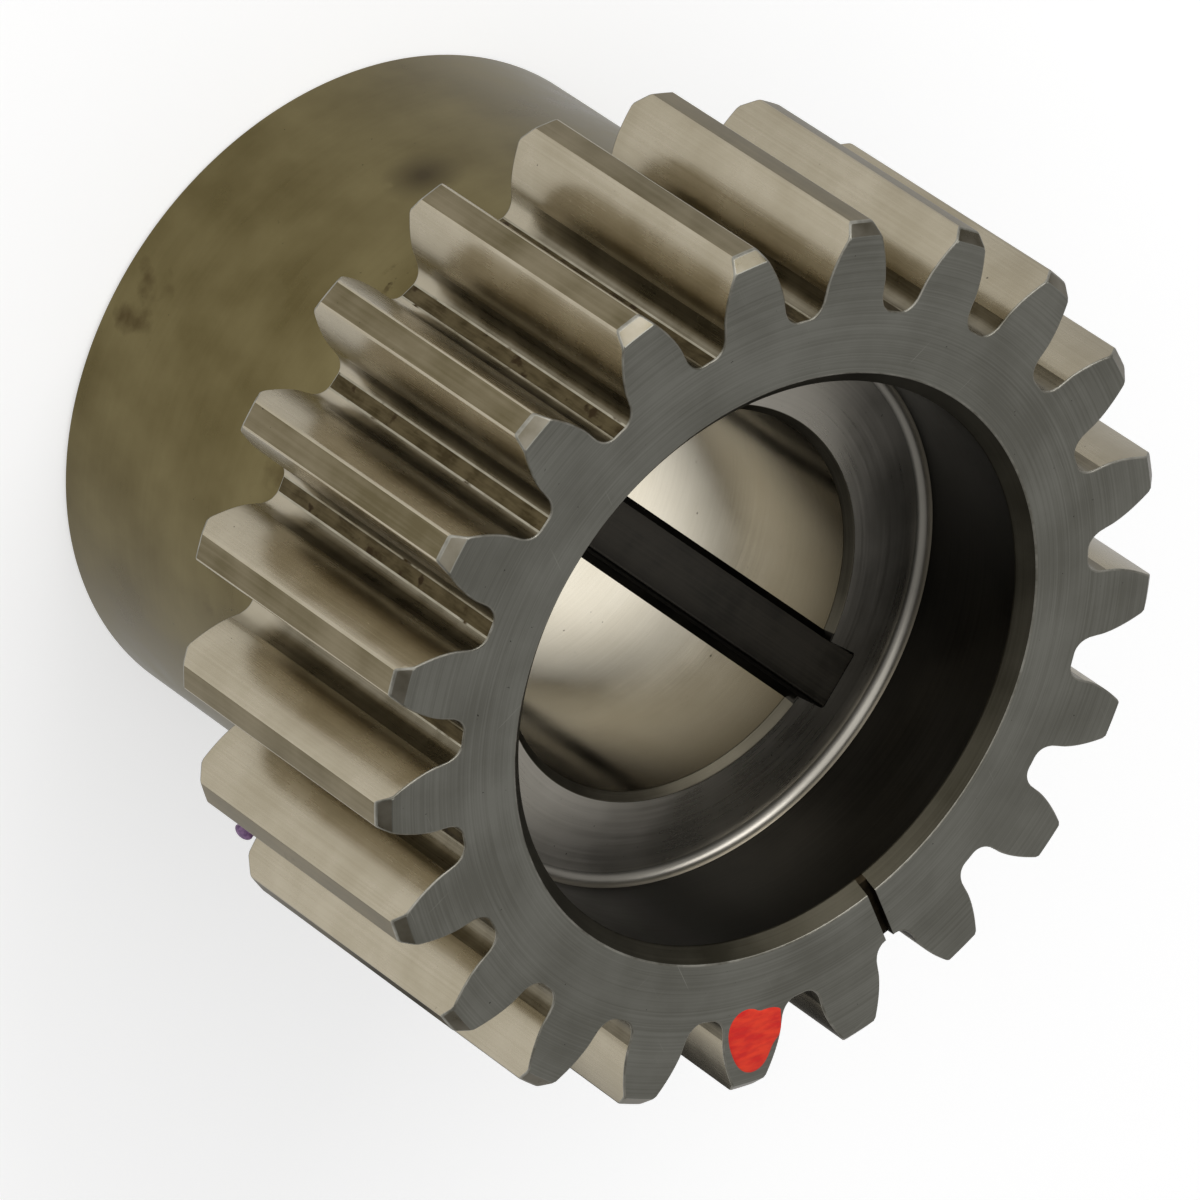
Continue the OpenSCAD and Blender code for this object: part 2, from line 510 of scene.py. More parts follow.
def make_piece(name, points, corners, kept_corners):
    """A mesh object from points in millimetres and the corners of its faces."""
    sizes = kept_corners.sum(1)
    mesh = bpy.data.meshes.new(name)
    mesh.vertices.add(len(points))
    mesh.vertices.foreach_set("co", (points * MM).astype(np.float32).ravel())
    mesh.loops.add(int(sizes.sum()))
    mesh.loops.foreach_set("vertex_index", corners[kept_corners].astype(np.int32))
    mesh.polygons.add(len(corners))
    mesh.polygons.foreach_set("loop_start", (np.cumsum(sizes) - sizes).astype(np.int32))
    mesh.update(calc_edges=True)
    piece = bpy.data.objects.new(name, mesh)
    bpy.context.scene.collection.objects.link(piece)
    return piece


def volume(points, corners, kept_corners):
    """Volume inside a closed mesh: the sum of the wedges from the origin to its faces, each cut
    into two triangles."""
    whole = np.where(kept_corners, corners, np.roll(corners, 1, 1))
    a, b, c, d = (points[whole[:, i]] for i in range(4))
    return (np.cross(b, c) * a + np.cross(c, d) * a).sum() / 6


points, corners, kept_corners, kept = merged(
    np.concatenate(rows), grid_faces(len(rows), columns)
)
gear = make_piece("pinion_steel", points, corners, kept_corners)
print("gear mesh:", len(points), "points,", len(corners), "faces,", end=" ")
print("volume, cubic mm:", round(float(volume(points, corners, kept_corners)), 1))

# %% [markdown]
# Shading
#
# The shading needs its own normals. Plain smooth shading would tilt the wide level faces towards
# the narrow rounds beside them, which shows as dark lines. Weighted by area, a wide face keeps its
# own normal and the round bends to meet it. The Weighted Normal modifier does the same, but not
# on faces as small as these are in metres, so the sum is made here.


# %% Shade the gear
def corner_normals(points, corners, kept_corners, limit):
    """A normal for each corner of each face: the sum of the areas times the normals of the
    faces round its point that lean from its own face by less than a limit."""
    whole = np.where(kept_corners, corners, np.roll(corners, 1, 1))
    a, b, c, d = (points[whole[:, i]] for i in range(4))
    area_normal = np.cross(c - a, d - b) / 2
    unit = area_normal / np.linalg.norm(area_normal, axis=1, keepdims=True)
    face, point = np.nonzero(kept_corners)[0], corners[kept_corners]
    order = np.argsort(point, kind="stable")
    face, point = face[order], point[order]
    total = area_normal[face]
    for step in range(1, int(np.bincount(point).max())):
        alike = (unit[face[step:]] * unit[face[:-step]]).sum(1) > np.cos(limit)
        pair = (alike & (point[step:] == point[:-step]))[:, None]
        total[step:] += pair * area_normal[face[:-step]]
        total[:-step] += pair * area_normal[face[step:]]
    normals = np.empty_like(total)
    normals[order] = total / np.linalg.norm(total, axis=1, keepdims=True)
    return normals


# Faces that lean from each other by more than this keep a sharp edge between them
sharp_from = np.radians(32)
gear_normals = corner_normals(points, corners, kept_corners, sharp_from)
gear.data.normals_split_custom_set(gear_normals.tolist())
print("normals set at the corners of faces:", len(gear_normals))

# %% [markdown]
# Which finish goes where
#
# A gear's surfaces look different because each was made by another tool, so the faces are sorted
# by the ring and the column that they came from. The tooth's flank and root were cut, the lands
# on the tips and the bevels are skin of the turned blank, and the edges are rubbed bright. The
# strip beside each root carries a painted highlight, and the wall of the recess painted shade.

# %% Sort the faces
whole = np.where(kept_corners, corners, np.roll(corners, 1, 1))
centres = points[whole].mean(1)
centre_r = np.hypot(centres[:, 0], centres[:, 1])
band, column = kept // columns, kept % columns
fold = np.minimum(column % per_tooth, per_tooth - 1 - column % per_tooth)
across_slot = centres[:, 1] * np.cos(slot_turn) - centres[:, 0] * np.sin(slot_turn)
wall_room = 0.002
in_slot_sector = (np.abs(across_slot) < slot_half + wall_room) & (centres[:, 0] > 0)
in_keyway = np.isin(column, in_channel[:-1])
slot_lip = length - 0.03
high_up = (centres[:, 2] > length - 3 * slot_depth) & (centres[:, 2] < slot_lip)

# Columns from the middle of a gap where the root ends, the painted highlight beside it ends, the
# clean flank starts and the land on the tip starts
root_end, painted_highlight_end, flank_start = 7, 8, 15
land_start = half_count - 5

# A bevel starts this far beyond the ring that is creased
past_crease = 0.02

places = {
    "hub": np.isin(band, bands["hub"] + bands["hub_edge"]),
    "skin": np.isin(band, bands["under"]),
    "edge": np.isin(band, bands["edge"] + bands["face"][-2:]),
    "flank": np.isin(band, bands["side"]),
    "fillet": np.isin(band, bands["side"]) & (fold < flank_start),
    "fillet_line": np.isin(band, bands["side"]) & (fold < painted_highlight_end),
    "root": np.isin(band, bands["side"]) & (fold < root_end),
    "land": np.isin(band, bands["side"]) & (fold >= land_start),
    "face": np.isin(band, bands["face"][:-2] + bands["hub_end"]),
    "bevel": np.isin(band, bands["under"]) & (centre_r > tip_r - hub_side_bevel + past_crease)
    | np.isin(band, bands["face"]) & (centre_r > tip_r - open_bevel + past_crease),
    "mouth": np.isin(band, bands["mouth"]),
    "recess": np.isin(band, bands["recess"][:1]),
    "corner": np.isin(band, bands["recess"][1:]),
    "shoulder": np.isin(band, bands["floor"][:1]),
    "bore": np.isin(band, bands["bore"]) & ~in_keyway,
    "bore_edge": np.isin(band, bands["floor"][1:] + bands["bore_edge"]),
    "keyway": np.isin(band, bands["bore"] + bands["floor"][1:] + bands["bore_edge"]) & in_keyway,
    "slot": in_slot_sector & high_up & (centre_r < root_r),
}
finish_of_face = np.zeros(len(kept), np.int32)
for number, chosen in enumerate(places.values()):
    finish_of_face[chosen] = number
print({name: int((finish_of_face == i).sum()) for i, name in enumerate(places)})

# %% [markdown]
# Tools for the finishes
#
# Every finish is bare steel, so it needs the same few things: a place in millimetres, patterns
# that follow the path of the tool, and a way to spread a pattern between two values. Image
# textures could show all this too, but patterns that are worked out stay sharp at any distance,
# and they sit on the object wherever its faces lie.


# %% Helpers for shader nodes
def new_node(tree, kind, inputs=None, **options):
    """Adds a shader node, sets its options, and gives its inputs their values or links."""
    added = tree.nodes.new("ShaderNode" + kind)
    for option, value in options.items():
        setattr(added, option, value)
    for socket, value in (inputs or {}).items():
        if isinstance(value, bpy.types.NodeSocket):
            tree.links.new(value, added.inputs[socket])
        else:
            added.inputs[socket].default_value = value
    return added


def place_in_mm(tree):
    """The place on the piece, its Object coordinates times 1000."""
    where = new_node(tree, "TexCoord").outputs["Object"]
    return new_node(tree, "VectorMath", {0: where, "Scale": 1 / MM}, operation="SCALE").outputs[0]


def lathe_place(tree):
    """A place that follows a lathe tool: the direction from the axis times a middling radius of
    13 mm, and the tool's feed, which is the distance from the axis plus the height."""
    where = place_in_mm(tree)
    flat = new_node(tree, "VectorMath", {0: where, 1: (1, 1, 0)}, operation="MULTIPLY").outputs[0]
    away = new_node(tree, "VectorMath", {0: flat}, operation="LENGTH").outputs["Value"]
    heading = new_node(tree, "VectorMath", {0: flat}, operation="NORMALIZE").outputs[0]
    height = new_node(tree, "SeparateXYZ", {0: where}).outputs["Z"]
    feed = new_node(tree, "Math", {0: away, 1: height}, operation="ADD").outputs[0]
    lifted = new_node(tree, "CombineXYZ", {"Z": feed}).outputs[0]
    inputs = {0: heading, 1: (13, 13, 13), 2: lifted}
    return new_node(tree, "VectorMath", inputs, operation="MULTIPLY_ADD").outputs[0]


def pattern(tree, where, size, detail=3.0):
    """Soft random values round a half. size gives the width of a blot along each axis in mm."""
    scale = tuple(1 / s for s in size)
    fitted = new_node(tree, "VectorMath", {0: where, 1: scale}, operation="MULTIPLY").outputs[0]
    inputs = {"Vector": fitted, "Scale": 1.0, "Detail": detail}
    return new_node(tree, "TexNoise", inputs).outputs["Fac"]


def spread(tree, value, low, high, to_low=0.0, to_high=1.0):
    """Maps low to high onto to_low to to_high, and holds what lies beyond."""
    inputs = {"Value": value, "From Min": low, "From Max": high}
    inputs.update({"To Min": to_low, "To Max": to_high})
    return new_node(tree, "MapRange", inputs).outputs["Result"]


def mixed(tree, share, first, second, kind="MIX"):
    """One colour over another by a share."""
    inputs = {0: share, 6: first, 7: second}
    return new_node(tree, "Mix", inputs, data_type="RGBA", blend_type=kind).outputs[2]


def grey(value):
    """A grey as a colour."""
    return (value, value, value, 1)


# %% [markdown]
# Bare steel
#
# Every finish of the gear is steel in another state, so one function makes them all. The lines of
# the tool and larger blots add up to one tone, which sets colour and roughness together, so that a
# line shows in both, as a groove in real steel does. Stains, specks and scratches lie over that.


# %% A steel finish
def scratches(tree, where, turn):
    """Thin straight marks: noise drawn out along one direction, of which only peaks count."""
    turned = new_node(tree, "Mapping", {0: where, "Rotation": (0, 0, turn)}).outputs[0]
    return spread(tree, pattern(tree, turned, (0.06, 3.5, 3.5), 1.0), 0.75, 0.83)


# A stain fades in while the noise rises by this much over its level
STAIN_FADE = 0.08


def steel(name, dark, light, roughness, place, lines, weight=0.45, depth=0.001, blots=4.0,
          stain=None, pits=0.0, scratch=()):
    """Bare steel. The tool's lines, of the given width along each axis, and larger blots set its
    tone between two colours and its roughness between two values. weight is how much the lines
    count against the blots, and depth their height in mm. stain is a colour, the width of its
    spots in mm and the level of noise above which it lies. pits is a share of small dark specks,
    and scratch a list of the directions of scratches."""
    material = bpy.data.materials.new(name)
    material.use_nodes = True
    tree = material.node_tree
    shader = tree.nodes["Principled BSDF"]
    whole_place = place_in_mm(tree)
    fine = pattern(tree, place(tree), lines, 4.0)
    broad = pattern(tree, whole_place, (blots, blots, blots), 5.0)
    # Noise lies round a half and seldom strays from it by more than a fifth.
    tone = new_node(tree, "Math", {0: fine, 1: weight, 2: broad}, operation="MULTIPLY_ADD").outputs[0]
    middle = 0.5 + weight / 2
    colour = mixed(tree, spread(tree, tone, middle - 0.2, middle + 0.2), dark, light)
    if stain:
        tint, width, level = stain
        spots = pattern(tree, whole_place, (width, width, width), 6.0)
        colour = mixed(tree, spread(tree, spots, level, level + STAIN_FADE), colour, tint)
    for turn in scratch:
        bright = tuple(1.2 * v for v in light[:3]) + (1,)
        colour = mixed(tree, scratches(tree, whole_place, turn), colour, bright)
    # The specks are the peaks of a fine noise.
    if pits:
        speck = pattern(tree, whole_place, (0.2, 0.2, 0.2), 2.0)
        share = spread(tree, speck, 0.78 - pits, 0.82 - pits, 0.0, 0.85)
        colour = mixed(tree, share, colour, (0.02, 0.016, 0.01, 1))
    tree.links.new(colour, shader.inputs["Base Color"])
    tree.links.new(
        spread(tree, tone, middle - 0.2, middle + 0.2, *roughness), shader.inputs["Roughness"]
    )
    inputs = {"Height": fine, "Strength": 1.0, "Distance": depth * MM}
    bump = new_node(tree, "Bump", inputs)
    tree.links.new(bump.outputs["Normal"], shader.inputs["Normal"])
    shader.inputs["Metallic"].default_value = 1.0
    return material


# %% [markdown]
# The finishes outside
#
# The open face was faced on a lathe, which leaves fine rings. The flanks were shaped, which
# leaves fine lines along the tooth. The hub and the tips of the teeth keep the brown heat tint
# of hardening. Each finish has a dark and a light colour, two values of roughness, the path of
# its lines and their width along each axis.

# %% Finishes outside
# Widths of lines that run round the axis and of lines that run along it
ROUND = (9.0, 9.0, 0.11)
ALONG = (0.09, 0.09, 14.0)
BROWN = (0.045, 0.028, 0.01, 1)
finishes = {
    "hub": steel("hub_heat_tint", (0.115, 0.09, 0.036, 1), (0.185, 0.152, 0.07, 1),
                 (0.26, 0.36), lathe_place, (8.0, 8.0, 0.2), 0.12, 0.0004, 3.5,
                 ((0.09, 0.066, 0.027, 1), 4.0, 0.64), 0.015),
    "skin": steel("hub_side_skin", (0.1, 0.085, 0.05, 1), (0.17, 0.15, 0.1, 1),
                  (0.35, 0.45), lathe_place, ROUND, 0.45, 0.001, 3.0),
    "edge": steel("rubbed_edge", (0.2, 0.19, 0.155, 1), (0.4, 0.385, 0.335, 1),
                  (0.34, 0.5), place_in_mm, (0.3, 0.3, 0.3), 0.6, 0.001, 1.5),
    "flank": steel("cut_flank", (0.37, 0.325, 0.235, 1), (0.47, 0.42, 0.32, 1),
                   (0.22, 0.3), place_in_mm, ALONG, 0.45, 0.0006, 2.5, None, 0.015),
    "fillet": steel("cut_fillet", (0.12, 0.103, 0.068, 1), (0.22, 0.194, 0.14, 1),
                    (0.25, 0.35), place_in_mm, ALONG, 0.6, 0.001, 1.5, None, 0.02),
    # A painted highlight: the strip beside the root is lighter, with brown stains over it
    "fillet_line": steel("fillet_line", (0.24, 0.215, 0.155, 1), (0.4, 0.37, 0.29, 1),
                         (0.25, 0.35), place_in_mm, (0.2, 0.2, 3.0), 0.45, 0.001, 1.0,
                         (BROWN, 1.2, 0.62)),
    "root": steel("cut_root", (0.045, 0.033, 0.014, 1), (0.11, 0.086, 0.044, 1),
                  (0.3, 0.45), place_in_mm, (0.12, 0.12, 0.9), 0.7, 0.003, 0.9,
                  ((0.036, 0.023, 0.01, 1), 0.7, 0.6), 0.03),
    "land": steel("tooth_land", (0.125, 0.102, 0.054, 1), (0.225, 0.19, 0.122, 1),
                  (0.28, 0.4), place_in_mm, (0.15, 0.15, 6.0), 0.5, 0.001, 3.0,
                  (BROWN, 3.0, 0.7), 0.015),
    "face": steel("faced_end", (0.21, 0.205, 0.173, 1), (0.305, 0.3, 0.262, 1),
                  (0.34, 0.46), lathe_place, (12.0, 12.0, 0.07), 0.8, 0.0012, 3.5, None, 0.02,
                  (0.5, 1.9)),
    "bevel": steel("tip_bevel", (0.14, 0.123, 0.085, 1), (0.26, 0.238, 0.19, 1),
                   (0.26, 0.36), lathe_place, ROUND, 0.45, 0.001, 1.2),
}
print("finishes outside:", len(finishes))

# %% [markdown]
# The finishes inside
#
# The floor of the recess and the bore were bored clean after hardening, so they are the brightest
# steel here. The wall of the recess is painted nearly black and the slot dark, both as painted
# shade, and the keyway is dark too.

# %% Finishes inside
finishes.update({
    "mouth": steel("recess_mouth", (0.04, 0.036, 0.025, 1), (0.075, 0.068, 0.05, 1),
                   (0.4, 0.5), lathe_place, ROUND, 0.45, 0.001, 3.0),
    # The wall of the recess is painted nearly black: painted shade
    "recess": steel("recess_wall", (0.008, 0.0075, 0.0065, 1), (0.018, 0.0168, 0.0145, 1),
                    (0.28, 0.38), lathe_place, ROUND, 0.45, 0.001, 4.0),
    "corner": steel("recess_corner", (0.32, 0.3, 0.26, 1), (0.44, 0.415, 0.365, 1),
                    (0.28, 0.36), lathe_place, ROUND, 0.3, 0.0004, 4.0),
    "shoulder": steel("recess_floor", (0.48, 0.45, 0.385, 1), (0.64, 0.6, 0.525, 1),
                      (0.26, 0.36), lathe_place, ROUND, 0.5, 0.001, 4.0, None, 0.03),
    "bore": steel("bored_wall", (0.42, 0.385, 0.31, 1), (0.52, 0.485, 0.405, 1),
                  (0.14, 0.22), lathe_place, ROUND, 0.3, 0.0005, 4.0, None, 0.03),
    "bore_edge": steel("bore_edge", (0.06, 0.053, 0.038, 1), (0.12, 0.108, 0.08, 1),
                       (0.4, 0.5), lathe_place, ROUND, 0.45, 0.001, 3.0),
    "keyway": steel("broached_keyway", (0.012, 0.011, 0.009, 1), (0.031, 0.028, 0.023, 1),
                    (0.35, 0.5), place_in_mm, ALONG, 0.6, 0.002, 1.5, None, 0.02),
    # The narrow slot is painted dark: painted shade
    "slot": steel("sawn_slot", (0.013, 0.01, 0.006, 1), (0.04, 0.03, 0.017, 1),
                  (0.45, 0.6), place_in_mm, (0.2, 0.2, 0.2), 0.45, 0.002, 0.5),
})
print("finishes in all:", len(finishes))

# %% [markdown]
# Stains and painted light
#
# Some marks lie at one place: pits and a brown patch on the hub close to the teeth, a painted
# highlight on the lower end of each gap, and painted shade on the upper end of the bore. Each one
# is laid over its finish by the distance from a point. Where that point is far away along the
# axis, the mark ends at an almost level border.


# %% Stains and painted light at their places
def add_stain_or_painted_light(finish, tint, centre, reach, spots, level):
    """Lays a stain, or painted light or shade, over a finish: full within the first of two
    distances from a centre in mm, gone at the second, and broken up by noise above a level."""
    tree = finish.node_tree
    base = tree.nodes["Principled BSDF"].inputs["Base Color"]
    where = place_in_mm(tree)
    away = new_node(tree, "VectorMath", {0: where, 1: centre}, operation="DISTANCE").outputs["Value"]
    near = spread(tree, away, *reach, 1.0, 0.0)
    broken = spread(tree, pattern(tree, where, spots, 5.0), level, level + STAIN_FADE)
    share = new_node(tree, "Math", {0: near, 1: broken}, operation="MULTIPLY").outputs[0]
    tree.links.new(mixed(tree, share, base.links[0].from_socket, tint), base)


WHOLE = -0.1  # All noise lies above this level, so the painted light or shade isn't broken up
add_stain_or_painted_light(finishes["hub"], BROWN, (-5.5, -12.8, 12.3), (0.4, 0.9), (0.5, 0.5, 0.5), 0.56)
add_stain_or_painted_light(finishes["hub"], (0.062, 0.046, 0.02, 1), (-9.05, -10.6, 8.3), (0.2, 1.7), (1.5, 1.5, 1.5), 0.3)
# Painted highlight: the fillet is lighter up to about 15 mm, at the hub-side end of each gap
add_stain_or_painted_light(finishes["fillet"], (0.42, 0.375, 0.285, 1), (0, 0, -900), (915.3, 916.5), (9, 9, 9), WHOLE)
# Painted shade: the bore is darker towards its upper end, by the recess
add_stain_or_painted_light(finishes["bore"], (0.05, 0.042, 0.028, 1), (0, 0, 28.5), (10.3, 15.3), (9, 9, 9), WHOLE)
for name in places:
    gear.data.materials.append(finishes[name])
gear.data.polygons.foreach_set("material_index", finish_of_face)
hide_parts("pinion_gear")
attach(gear, "root")
print("materials on the gear:", len(gear.data.materials))

# %% [markdown]
# The dab of paint
#
# One tooth beside the timing slot carries a dab of red paint, put on with one touch of a brush.
# It is a thin drop: rounded at the tip of the tooth and wider with a shallow notch towards the
# root. Its outline is a circle whose radius sways a little as it goes round, and its top swells
# from a steep edge to a nearly flat middle.

# %% Make the dab
paint_turn = slot_turn - 1.5 * tooth_turn
paint_centre = np.array([pitch_r - module / 2, 0.08])
paint_r, paint_t = 1.334, 0.05
notch_turn, notch_width = np.radians(171), np.radians(13)


def dab_outline(turn):
    """The mean radius times one plus the sways, cosines and sines of 1, 2, 3 and 4 turns, and
    less the notch, a bell curve of the angle."""
    sways = -0.052 * np.cos(turn) + 0.023 * np.sin(turn) + 0.049 * np.cos(2 * turn)
    sways += 0.123 * np.cos(3 * turn) - 0.043 * np.sin(3 * turn) + 0.045 * np.sin(4 * turn)
    notch = 0.07 * np.exp(-(((turn - notch_turn) / notch_width) ** 2))
    return paint_r * (1 + sways - notch)


def dab_grid(rings=26, spokes=144):
    """Points in rings, from the middle of the underside out and over the top to its middle. The
    top is the film's thickness times the square root of one less the share of the radius to the
    sixth, with low ridges across it from the brush."""
    share = np.concatenate([[0, 1], np.linspace(1, 0, rings) ** 0.7])
    turn = np.linspace(0, 2 * np.pi, spokes, endpoint=False)
    shares, turns = np.meshgrid(share, turn, indexing="ij")
    radial = paint_centre[0] + shares * dab_outline(turns) * np.cos(turns)
    sideways = paint_centre[1] + shares * dab_outline(turns) * np.sin(turns)
    away = np.hypot(radial, sideways)
    limit = away * np.sin(tooth_half_turn(away)) - edge
    sideways = np.clip(sideways, -limit, limit)
    swell = np.sqrt(np.maximum(1 - shares**6, 0))
    # The ridges lie a third of a millimetre apart and wander a little.
    ridges = 1 + 0.12 * np.sin(radial * 19 + 1.5 * np.sin(sideways * 3))
    # Nine tenths of the thickness leave the ridges room within the film.
    height = length + 0.9 * paint_t * swell * ridges
    height[0] = length
    height[1] = length
    x = radial * np.cos(paint_turn) - sideways * np.sin(paint_turn)
    y = radial * np.sin(paint_turn) + sideways * np.cos(paint_turn)
    return np.stack([x, y, height], 2)


def closed_round(grid):
    """A mesh from a grid whose first and last rings are points, closed round its spokes."""
    ring_count, spoke_count = grid.shape[:2]
    faces = grid_faces(ring_count, spoke_count)[: (ring_count - 1) * spoke_count]
    return merged(grid.reshape(-1, 3), faces, 1e-5)


dab_points, dab_corners, dab_kept, _ = closed_round(dab_grid())
dab = make_piece("red_dab", dab_points, dab_corners, dab_kept)
print("paint volume, cubic mm:", round(float(volume(dab_points, dab_corners, dab_kept)), 3))

# %% [markdown]
# Paint
#
# Paint is a dye in a clear film. The hairs of the brush leave streaks that run across the tooth,
# thick and deep in colour or thin and bright, so a noise drawn out along one direction mixes two
# reds, and it sets the gloss and the low ridges too.


# %% Red paint
def paint(name, deep, bright, size, roughness):
    """Paint from a brush: streaks between a deep and a bright colour, under its own gloss."""
    material = bpy.data.materials.new(name)
    material.use_nodes = True
    tree = material.node_tree
    shader = tree.nodes["Principled BSDF"]
    where = place_in_mm(tree)
    turned = new_node(tree, "Mapping", {0: where, "Rotation": (0, 0, -paint_turn)}).outputs[0]
    streaks = pattern(tree, turned, size, 4.0)
    tree.links.new(
        mixed(tree, spread(tree, streaks, 0.36, 0.6), deep, bright), shader.inputs["Base Color"]
    )
    tree.links.new(spread(tree, streaks, 0.3, 0.7, *roughness), shader.inputs["Roughness"])
    bump = new_node(tree, "Bump", {"Height": streaks, "Strength": 1.0, "Distance": 0.01 * MM})
    tree.links.new(bump.outputs["Normal"], shader.inputs["Normal"])
    return material


red = paint("red_paint", (0.78, 0.012, 0.006, 1), (0.96, 0.05, 0.014, 1), (0.3, 0.9, 1), (0.45, 0.65))
dab.data.materials.append(red)
dab.data.polygons.foreach_set("use_smooth", np.ones(len(dab.data.polygons), bool))
dab.data.set_sharp_from_angle(angle=np.radians(60))
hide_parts("paint_mark")
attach(dab, "root")

# %% [markdown]
# The violet drop
#
# Under the hub side of one tooth, low on the left of the photograph, hangs a small drop of violet
# paint, the trace of another mark. It is a lump that swells out of the end of the tooth, so a ball
# is stretched along the axis and pushed in and out by a few slow waves. A drop shows no streaks,
# so its noise is as wide as it is long.

# %% Make the violet drop
drop_r, drop_turn, drop_z = 17.1, np.radians(339.1), 13.25
drop_size = np.array([0.28, 0.26, 0.5])


def lump(size, rings=18, spokes=32):
    """Points on a ball, scaled along three axes, with its radius times one plus slow waves."""
    tilt = np.linspace(0, np.pi, rings)
    turn = np.linspace(0, 2 * np.pi, spokes, endpoint=False)
    tilts, turns = np.meshgrid(tilt, turn, indexing="ij")
    sway = 1 + np.sin(tilts) * (0.1 * np.cos(2 * turns + 1) + 0.08 * np.sin(3 * turns))
    ball = [np.sin(tilts) * np.cos(turns), np.sin(tilts) * np.sin(turns), -np.cos(tilts)]
    return np.stack(ball, 2) * sway[:, :, None] * size


drop_place = (drop_r * np.cos(drop_turn), drop_r * np.sin(drop_turn), drop_z)
drop_points, drop_corners, drop_kept, _ = closed_round(lump(drop_size) + drop_place)
drop = make_piece("violet_drop", drop_points, drop_corners, drop_kept)
drop.data.materials.append(
    paint("violet_paint", (0.16, 0.07, 0.2, 1), (0.36, 0.2, 0.4, 1), (0.2, 0.2, 0.2), (0.4, 0.5))
)
drop.data.polygons.foreach_set("use_smooth", np.ones(len(drop.data.polygons), bool))
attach(drop, "root")
print("violet drop, cubic mm:", round(float(volume(drop_points, drop_corners, drop_kept)), 3))

# %% [markdown]
# Floor
#
# The photograph has a white ground with a faint shadow. A plain white floor would go grey under
# an even light, so for the camera a part of its light is its own, and the rest is what falls on
# it, which keeps the shadow.
#
# Steel shows what lies round it, and in the photograph the gear lies tilted, so its sides mirror
# other ground than they do here. The ground in the reflections stands for that: bright under the
# bore, which is open to the light there, brighter in front than behind, and dark on one side,
# where the lowest teeth hang close over their own shadow.

# %% Make the floor
IN_FRONT = (0.259, -0.966, 0)
PAINTED_SHADOW_POINT = (30, 28, 0)
floor_half = 2500.0
floor_points = floor_half * np.array([[-1, -1, 0], [1, -1, 0], [1, 1, 0], [-1, 1, 0]])
floor = make_piece("floor", floor_points, np.array([[0, 1, 2, 3]]), np.ones((1, 4), bool))
floor_material = bpy.data.materials.new("white_ground")
floor_material.use_nodes = True
tree = floor_material.node_tree
tree.nodes.remove(tree.nodes["Principled BSDF"])
path = new_node(tree, "LightPath").outputs
own_light = new_node(tree, "Emission", {"Strength": 0.55}).outputs[0]
lit = new_node(tree, "BsdfDiffuse", {"Color": grey(0.7)}).outputs[0]
seen = new_node(tree, "AddShader", {0: own_light, 1: lit}).outputs[0]
plain = new_node(tree, "BsdfDiffuse", {"Color": grey(0.8)}).outputs[0]

# Painted reflections, seen only in the steel: a glow to 8 mm from the axis, brighter in front,
# and a painted shadow round one point
spot = place_in_mm(tree)
away = new_node(tree, "VectorMath", {0: spot}, operation="LENGTH").outputs["Value"]
from_dark = new_node(
    tree, "VectorMath", {0: spot, 1: PAINTED_SHADOW_POINT}, operation="DISTANCE"
).outputs["Value"]
along = new_node(tree, "VectorMath", {0: spot, 1: IN_FRONT}, operation="DOT_PRODUCT").outputs["Value"]
under_bore = spread(tree, away, 3, 8, 1.4, 0.0)
in_front = spread(tree, along, -25, 25, 0.14, 0.5)
strength = new_node(tree, "Math", {0: under_bore, 1: in_front}, operation="ADD").outputs[0]
glow = new_node(tree, "Emission", {"Strength": strength}).outputs[0]
dim = new_node(tree, "BsdfDiffuse", {"Color": grey(0.72)}).outputs[0]
bright = new_node(tree, "AddShader", {0: glow, 1: dim}).outputs[0]
painted_shadow = new_node(tree, "BsdfDiffuse", {"Color": grey(0.06)}).outputs[0]
beside_it = spread(tree, from_dark, 12, 26)
mirrored = new_node(tree, "MixShader", {0: beside_it, 1: painted_shadow, 2: bright}).outputs[0]
in_metal = new_node(tree, "MixShader", {0: path["Is Glossy Ray"], 1: plain, 2: mirrored}).outputs[0]
shown = new_node(tree, "MixShader", {0: path["Is Camera Ray"], 1: in_metal, 2: seen}).outputs[0]
tree.links.new(shown, tree.nodes["Material Output"].inputs["Surface"])
floor.data.materials.append(floor_material)
floor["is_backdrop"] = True
print("floor, m across:", 2 * floor_half * MM)

# %% [markdown]
# Light
#
# The studio is a dim even dome, a little brighter behind the gear than in front, with two soft
# lamps. Steel shows what it reflects, so the dome's level sets the tone of the open face. The
# large lamp gives the soft shadow, and the small one the glint in the corner of the recess and on
# the bevels that face it.

# %% Set the light
world = bpy.data.worlds.new("studio")
bpy.context.scene.world = world
world.use_nodes = True
tree = world.node_tree
heading = new_node(tree, "TexCoord").outputs["Generated"]
seen_in_face = (0.077, 0.710, 0.700)  # The way in which the open face mirrors the camera's view
facing = new_node(
    tree, "VectorMath", {0: heading, 1: seen_in_face}, operation="DOT_PRODUCT"
).outputs["Value"]
dome = tree.nodes["Background"]
tree.links.new(spread(tree, facing, -0.2, 1.0, 0.2, 0.42), dome.inputs["Strength"])
dome.inputs["Color"].default_value = grey(1.0)
white = new_node(tree, "Background", {"Color": grey(1.0), "Strength": 1.0}).outputs[0]
path = new_node(tree, "LightPath").outputs
shown = new_node(tree, "MixShader", {0: path["Is Camera Ray"], 1: dome.outputs[0], 2: white})
tree.links.new(shown.outputs[0], tree.nodes["World Output"].inputs["Surface"])


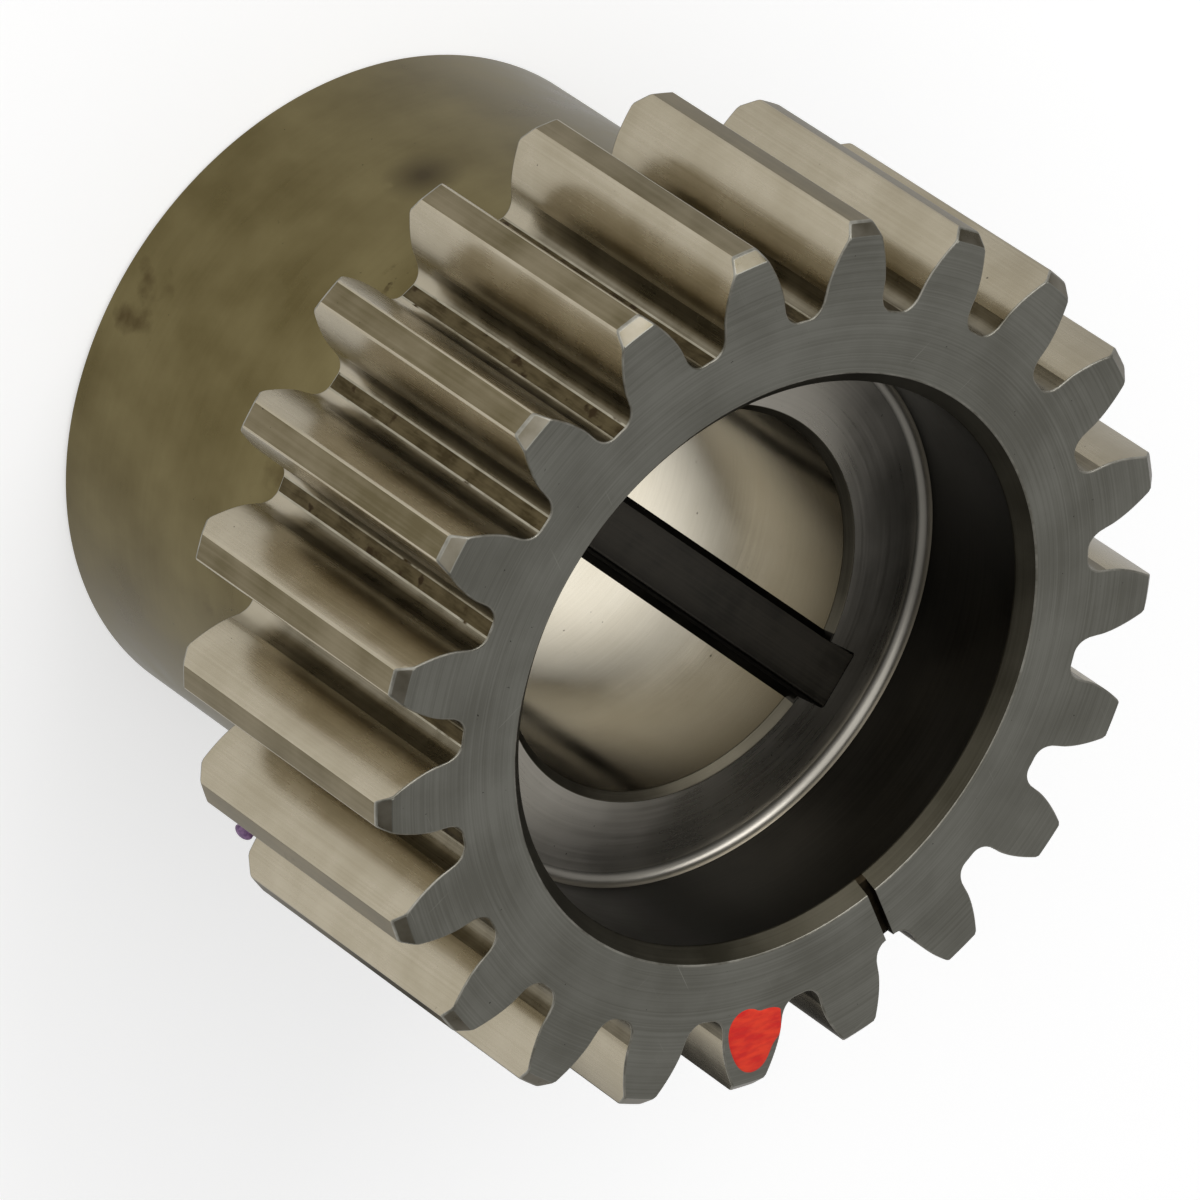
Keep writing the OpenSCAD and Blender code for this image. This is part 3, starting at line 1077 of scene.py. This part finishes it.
def lamp(name, azimuth, elevation, distance, width, height, power):
    """An oblong lamp at an angle round the axis and above the floor, aimed at the gear."""
    light = bpy.data.lights.new(name, "AREA")
    light.shape = "RECTANGLE"
    light.size = width * MM
    light.size_y = height * MM
    light.energy = power
    turn, rise = np.radians(azimuth), np.radians(elevation)
    away = Vector((np.cos(turn) * np.cos(rise), np.sin(turn) * np.cos(rise), np.sin(rise)))
    target = Vector((0, 0, length / 2 * MM))
    added = bpy.data.objects.new(name, light)
    added.matrix_world = (
        Matrix.Translation(target + away * distance * MM)
        @ away.to_track_quat("Z", "Y").to_matrix().to_4x4()
    )
    bpy.context.scene.collection.objects.link(added)
    return added


lamps = [
    lamp("key_lamp", -112, 38, 2000, 2900, 2900, 24.5),
    lamp("side_lamp", -158, 36, 1300, 900, 480, 4.0),
]
print("lamps, watts:", [round(added.data.energy, 1) for added in lamps])

# %% [markdown]
# Camera
#
# The gear stands on its hub here, while in the photograph it lies tilted, so the camera carries
# the tilt: it looks down at 44 degrees and is rolled well over. The place and lens were fitted to
# the gear's own circles and tooth tips in the photograph.

# %% Place the camera
camera_data = bpy.data.cameras.new("camera")
camera_data.sensor_width = 36.0
camera_data.lens = 406.712
place = Vector((-38.2357, -367.1280, 379.1251))
forward = Vector((0.077095, 0.710232, -0.699733)).normalized()
upward = Vector((-0.861139, -0.306277, -0.405751))
right = forward.cross(upward).normalized()
upward = right.cross(forward)
turned = Matrix((right, upward, -forward)).transposed().to_4x4()
camera = bpy.data.objects.new("camera", camera_data)
camera.matrix_world = Matrix.Translation(place * MM) @ turned
bpy.context.scene.collection.objects.link(camera)
bpy.context.scene.camera = camera
bpy.context.scene.view_settings.view_transform = "Standard"
print("camera distance, mm:", round(place.length, 1))

# %% [markdown]
# The size
#
# The dressed gear has to keep the size of the imported model, so both boxes are printed.

# %% Print both boxes
boxes = {"cad": cad_box, "visual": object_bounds()}
boxes = {name: [[float(v) for v in corner] for corner in box] for name, box in boxes.items()}
print("boxes, mm:", {n: [[round(v / MM, 3) for v in c] for c in b] for n, b in boxes.items()})
